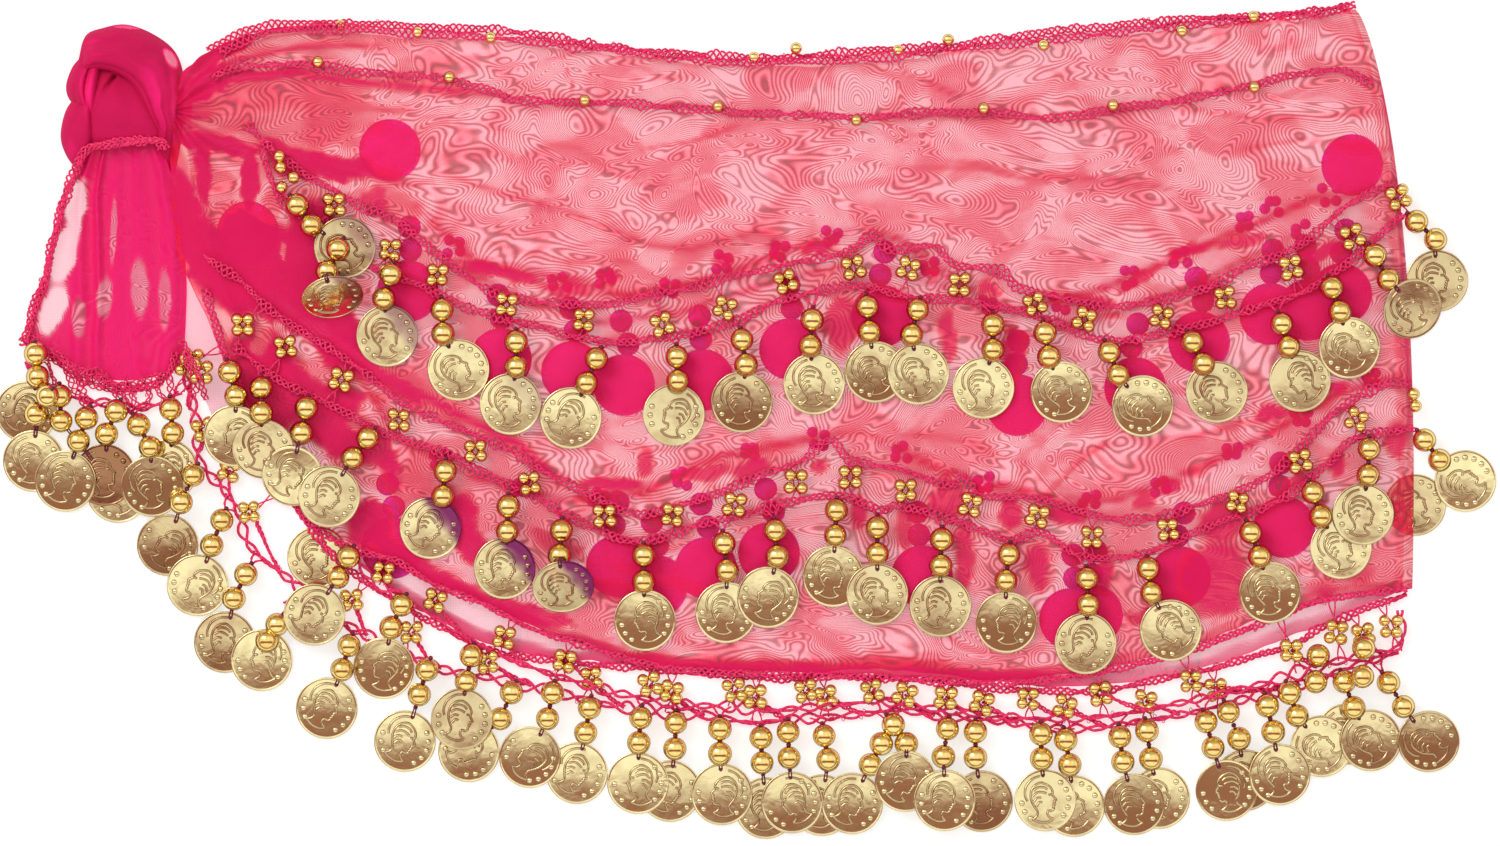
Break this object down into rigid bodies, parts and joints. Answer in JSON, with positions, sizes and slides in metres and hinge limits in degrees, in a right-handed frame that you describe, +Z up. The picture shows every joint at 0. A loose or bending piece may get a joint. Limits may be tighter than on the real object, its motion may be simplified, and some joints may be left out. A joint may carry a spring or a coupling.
{
  "type": "belly dance hip scarf",
  "caption": "Sheer chiffon hip scarf laid flat: folded double, knotted at one end, with crochet net rows carrying gold beads and coins.",
  "frame": {"origin": "centre of the bounding box at the surface the scarf lies on", "axes": "+X along the scarf from the knot to the fold, +Y from the hem towards the top edge, +Z up from the surface"},
  "size_m": [0.4783, 0.2676, 0.0208],
  "materials": {
    "chiffon": "sheer woven chiffon, pink, two layers thick",
    "chiffon_folded": "sheer chiffon bunched many layers thick, deep pink",
    "crochet": "crocheted thread, crimson pink",
    "gold": "bright gold plate, polished"
  },
  "bodies": {
    "root": {"back_panel": "chiffon", "front_panel": "chiffon", "back_tail": "chiffon", "tail": "chiffon_folded", "knot_loop": "chiffon_folded", "knot_core": "chiffon_folded", "back_edge_trim": "crochet", "front_edge_trim": "crochet", "second_trim": "crochet", "upper_net": "crochet", "middle_net": "crochet", "hem_net_back": "crochet", "hem_net_front": "crochet", "tail_net": "crochet", "upper_coins": "gold", "middle_coins": "gold", "hem_coins_back": "gold", "hem_coins_front": "gold", "tail_coins": "gold"}
  },
  "joints": []
}
